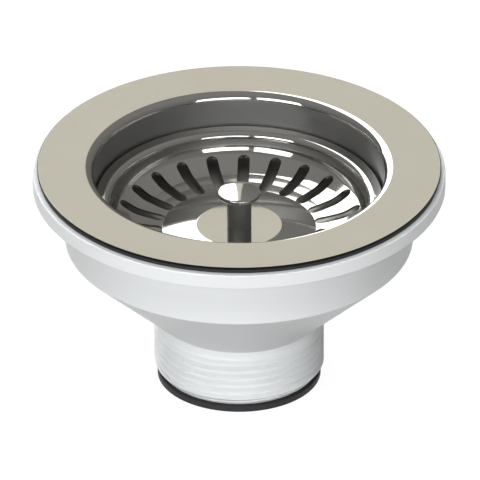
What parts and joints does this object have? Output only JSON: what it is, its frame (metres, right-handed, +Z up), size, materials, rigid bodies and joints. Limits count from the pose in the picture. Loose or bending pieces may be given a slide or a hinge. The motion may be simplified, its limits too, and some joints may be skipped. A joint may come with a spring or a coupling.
{
  "type": "basket strainer sink waste",
  "caption": "Round kitchen sink waste: steel rim and cup over a white tapered body with a threaded outlet, holding a slotted lift-out basket plug with a knob.",
  "frame": {"origin": "centre of the underside of the outlet washer, on which the waste stands", "axes": "+Z up the axis from the outlet to the rim; X and Y lie in the plane of the washer"},
  "size_m": [0.1164, 0.1164, 0.0666],
  "materials": {
    "polished_steel": "polished stainless sheet",
    "black_rubber": "matt moulded rubber",
    "white_plastic": "satin moulded polypropylene",
    "brass": "turned"
  },
  "bodies": {
    "waste": {"strainer_flange": "polished_steel", "rim_seal": "black_rubber", "body_gasket": "black_rubber", "waste_body": "white_plastic", "threaded_insert": "brass", "fixing_bolt": "polished_steel", "bolt_seal": "black_rubber", "outlet_washer": "black_rubber"},
    "plug": {"basket": "polished_steel", "knob": "polished_steel", "stopper_seal": "black_rubber", "stopper_plate": "polished_steel", "stem": "polished_steel", "stem_o_ring": "black_rubber"}
  },
  "joints": [
    {"name": "basket_lift", "type": "slide", "parent": "waste", "child": "plug", "axis": [0, 0, 1], "range_m": [0, 0.045]}
  ]
}
